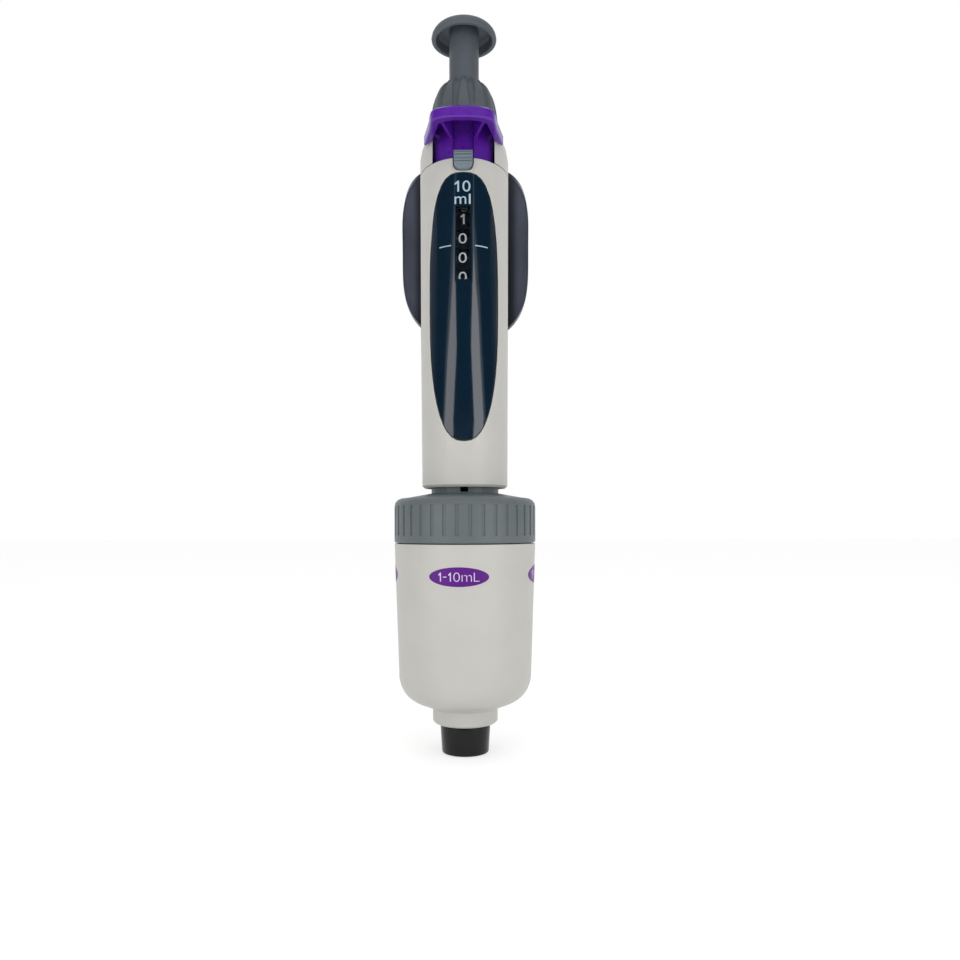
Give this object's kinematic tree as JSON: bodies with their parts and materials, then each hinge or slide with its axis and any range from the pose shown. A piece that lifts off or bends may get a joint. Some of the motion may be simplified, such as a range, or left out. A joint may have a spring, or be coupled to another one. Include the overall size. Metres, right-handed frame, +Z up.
{
  "type": "micropipette",
  "caption": "Hand-held adjustable large-volume pipette: push button, fluted volume knob, number-wheel display, tip ejector, finger rest and a wide barrel with a tip cone.",
  "frame": {"origin": "centre of the tip cone's flat lower end, on the plunger's axis", "axes": "+Z up the plunger's axis towards the push button, -Y towards the display and the ejector's thumb hood, +Y towards the finger rest, +X to the right seen from the display's side"},
  "size_m": [0.045, 0.0624, 0.2314],
  "materials": {
    "cone_black": "glossy",
    "seal_rubber": "matte",
    "filter_foam": "matte",
    "body_white": "satin",
    "inner_ivory": "satin",
    "seal_grey": "matte",
    "steel": "brushed",
    "spring_steel": "brushed",
    "coupling_grey": "satin",
    "brass": "satin",
    "wheel_black": "satin",
    "frame_grey": "matte",
    "lens_navy": "glossy",
    "window_clear": "clear",
    "knob_grey": "satin",
    "ejector_purple": "glossy",
    "slider_grey": "satin",
    "rest_slate": "satin"
  },
  "bodies": {
    "handle": {"nose_cone": "cone_black", "nose_o_ring": "seal_rubber", "tip_filter": "filter_foam", "barrel": "body_white", "barrel_gasket": "seal_rubber", "neck_coupling": "coupling_grey", "barrel_collar": "coupling_grey", "spring_washer": "steel", "main_spring": "spring_steel", "stop_guide": "inner_ivory", "counter_frame": "frame_grey", "pinion_shaft": "steel", "handle_shell": "body_white", "display_panel": "lens_navy", "window_pane": "window_clear", "upper_housing": "body_white", "knob_bush": "inner_ivory", "ejector_spring": "spring_steel", "finger_rest": "rest_slate", "finger_rest_screw_1": "steel", "finger_rest_screw_2": "steel"},
    "plunger": {"push_button": "knob_grey", "button_rod": "knob_grey", "spindle": "steel", "stop_collar": "brass", "piston_rod": "steel", "spring_cap": "inner_ivory", "piston": "inner_ivory", "piston_seal": "seal_grey", "seal_retainer": "inner_ivory", "piston_screw": "steel"},
    "knob": {"adjusting_knob": "knob_grey", "drive_sleeve": "inner_ivory", "number_wheel_4": "wheel_black"},
    "wheel_3": {"number_wheel_3": "wheel_black"},
    "wheel_2": {"number_wheel_2": "wheel_black"},
    "wheel_1": {"number_wheel_1": "wheel_black"},
    "pinion_3": {"carry_pinion_3": "inner_ivory"},
    "pinion_2": {"carry_pinion_2": "inner_ivory"},
    "pinion_1": {"carry_pinion_1": "inner_ivory"},
    "stop": {"stop_cup": "inner_ivory", "blowout_spring": "spring_steel"},
    "ejector": {"ejector_button": "ejector_purple", "ejector_rod": "steel"},
    "lock": {"lock_slider": "slider_grey"}
  },
  "joints": [
    {"name": "plunger_press", "type": "slide", "parent": "handle", "child": "plunger", "axis": [0, 0, -1], "range_m": [0, 0.01655], "stiffness_N_per_m": 300, "springref_m": -0.006, "deforming": ["main_spring", "blowout_spring"]},
    {"name": "stop_travel", "type": "slide", "parent": "handle", "child": "stop", "axis": [0, 0, 1], "range_m": [0, 0.01291]},
    {"name": "knob_turn", "type": "hinge", "parent": "handle", "child": "knob", "pos_m": [0, 0, 0.2], "axis": [0, 0, 1], "range_deg": [-6480.1, 0.1]},
    {"name": "wheel_3_turn", "type": "hinge", "parent": "handle", "child": "wheel_3", "pos_m": [0, 0, 0.1545], "axis": [0, 0, 1], "range_deg": [-3240.1, 0.1]},
    {"name": "wheel_2_turn", "type": "hinge", "parent": "handle", "child": "wheel_2", "pos_m": [0, 0, 0.1605], "axis": [0, 0, 1], "range_deg": [-324.1, 0.1]},
    {"name": "wheel_1_turn", "type": "hinge", "parent": "handle", "child": "wheel_1", "pos_m": [0, 0, 0.1665], "axis": [0, 0, 1], "range_deg": [-32.5, 0.1]},
    {"name": "pinion_3_turn", "type": "hinge", "parent": "handle", "child": "pinion_3", "pos_m": [0, 0.00878, 0.1545], "axis": [0, 0, 1], "range_deg": [-0.1, 8100.1]},
    {"name": "pinion_2_turn", "type": "hinge", "parent": "handle", "child": "pinion_2", "pos_m": [0, 0.00878, 0.1605], "axis": [0, 0, 1], "range_deg": [-0.1, 810.1]},
    {"name": "pinion_1_turn", "type": "hinge", "parent": "handle", "child": "pinion_1", "pos_m": [0, 0.00878, 0.1665], "axis": [0, 0, 1], "range_deg": [-0.1, 81.1]},
    {"name": "ejector_press", "type": "slide", "parent": "handle", "child": "ejector", "axis": [0, 0, -1], "range_m": [0, 0.006], "stiffness_N_per_m": 800, "springref_m": -0.002, "deforming": ["ejector_spring"]},
    {"name": "lock_slide", "type": "slide", "parent": "handle", "child": "lock", "axis": [0, 0, 1], "range_m": [0, 0.0016]}
  ],
  "couplings": [
    {"joint": "knob_turn", "follows": "stop_travel", "rad_per_m": -8757.1},
    {"joint": "wheel_3_turn", "follows": "stop_travel", "rad_per_m": -4378.5},
    {"joint": "wheel_2_turn", "follows": "stop_travel", "rad_per_m": -437.85},
    {"joint": "wheel_1_turn", "follows": "stop_travel", "rad_per_m": -43.785},
    {"joint": "pinion_3_turn", "follows": "stop_travel", "rad_per_m": 10946},
    {"joint": "pinion_2_turn", "follows": "stop_travel", "rad_per_m": 1094.6},
    {"joint": "pinion_1_turn", "follows": "stop_travel", "rad_per_m": 109.46}
  ]
}
